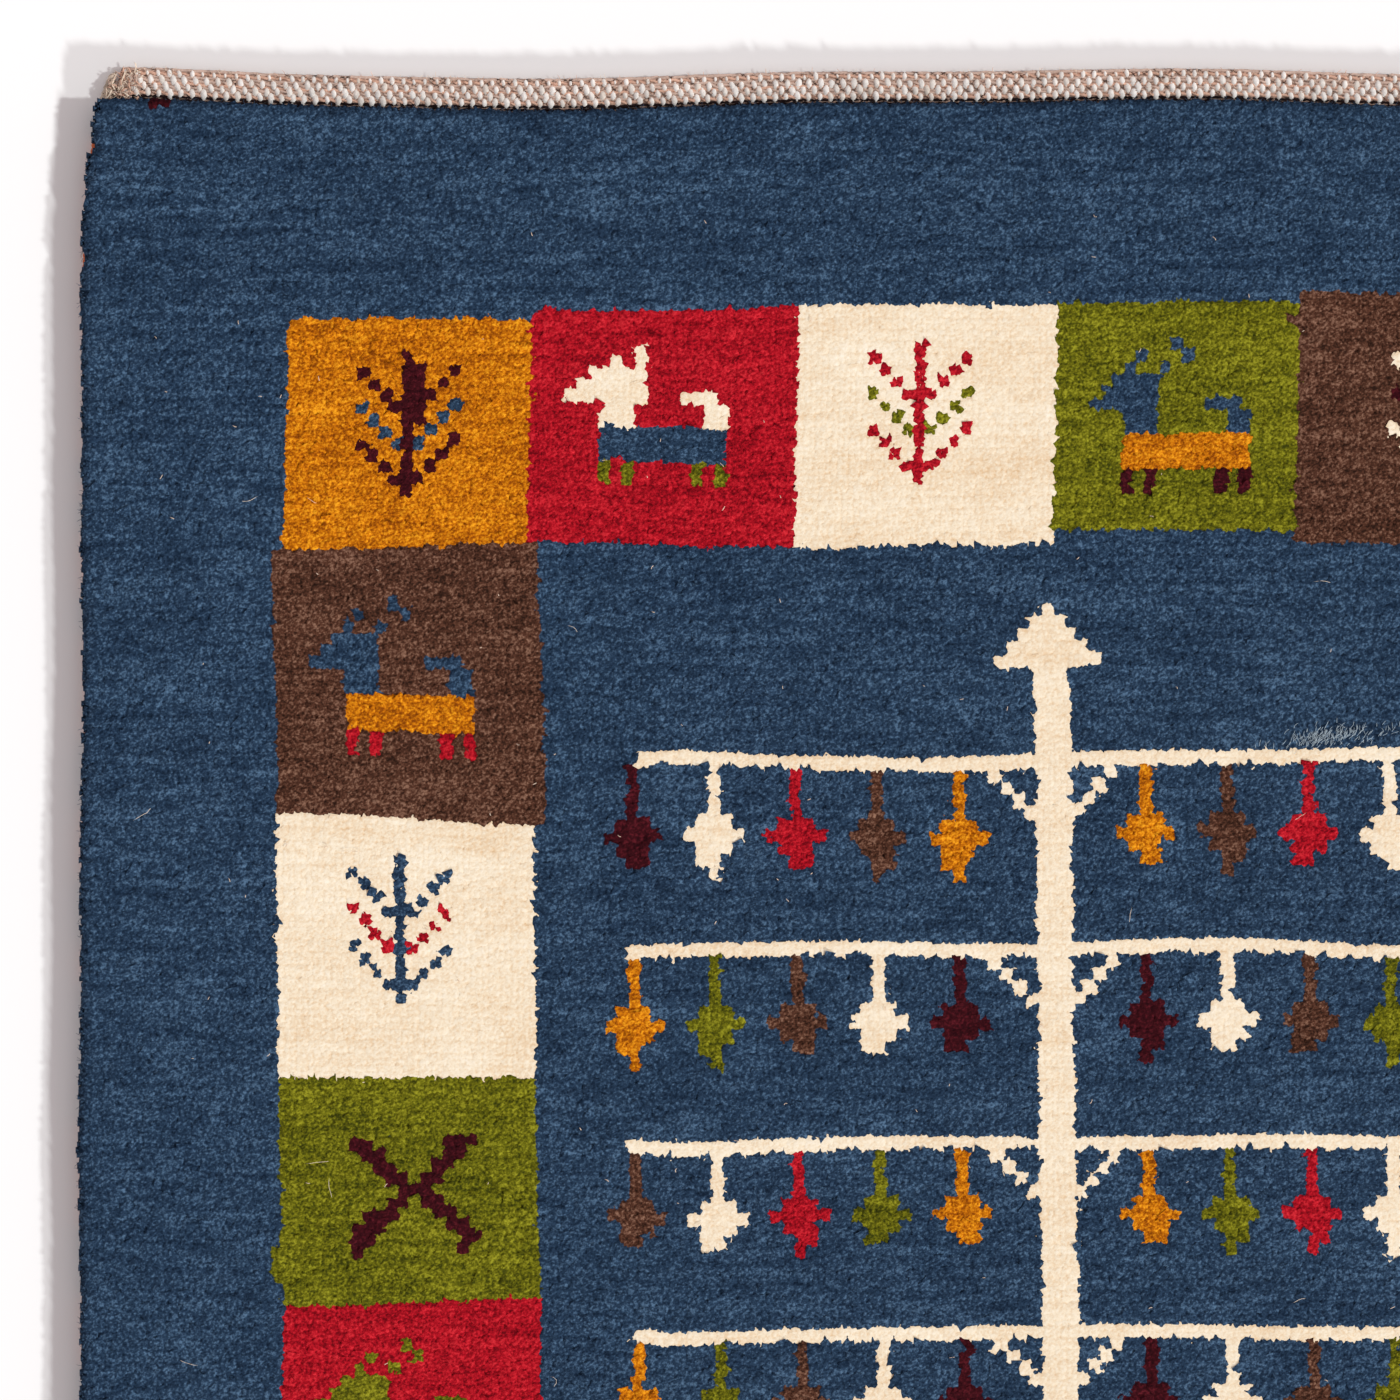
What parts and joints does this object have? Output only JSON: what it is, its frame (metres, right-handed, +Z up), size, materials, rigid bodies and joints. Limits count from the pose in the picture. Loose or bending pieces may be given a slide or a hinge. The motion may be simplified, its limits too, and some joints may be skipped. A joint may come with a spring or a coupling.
{
  "type": "gabbeh rug",
  "caption": "Flat hand-knotted wool rug: blue pile with a stylised tree inside a border of squares, flat-woven ends and overcast sides.",
  "frame": {"origin": "on the floor, under the middle of the rug", "axes": "+Z up out of the pile, +Y along the warps towards the end of the tree's tip, +X across the rug to the right as the tree is seen upright"},
  "size_m": [0.6057, 0.8997, 0.012],
  "materials": {
    "ground_weave": "undyed ivory warp with rust and brown weft, tightly beaten",
    "pile_blue": "clipped hand-spun wool pile, indigo blue, softly streaked",
    "pile_ivory": "clipped wool pile, undyed ivory with peach streaks",
    "pile_gold": "clipped wool pile, mustard gold",
    "pile_red": "clipped wool pile, madder red",
    "pile_green": "clipped wool pile, olive green, mottled",
    "pile_brown": "clipped wool pile, walnut brown",
    "pile_maroon": "clipped wool pile, dark maroon",
    "selvedge_yarn": "rust and blue wool overcast round the edge warps"
  },
  "bodies": {
    "root": {"woven_ground": "ground_weave", "knotted_pile": "pile_blue", "selvedge_left": "selvedge_yarn", "selvedge_right": "selvedge_yarn"}
  },
  "joints": []
}
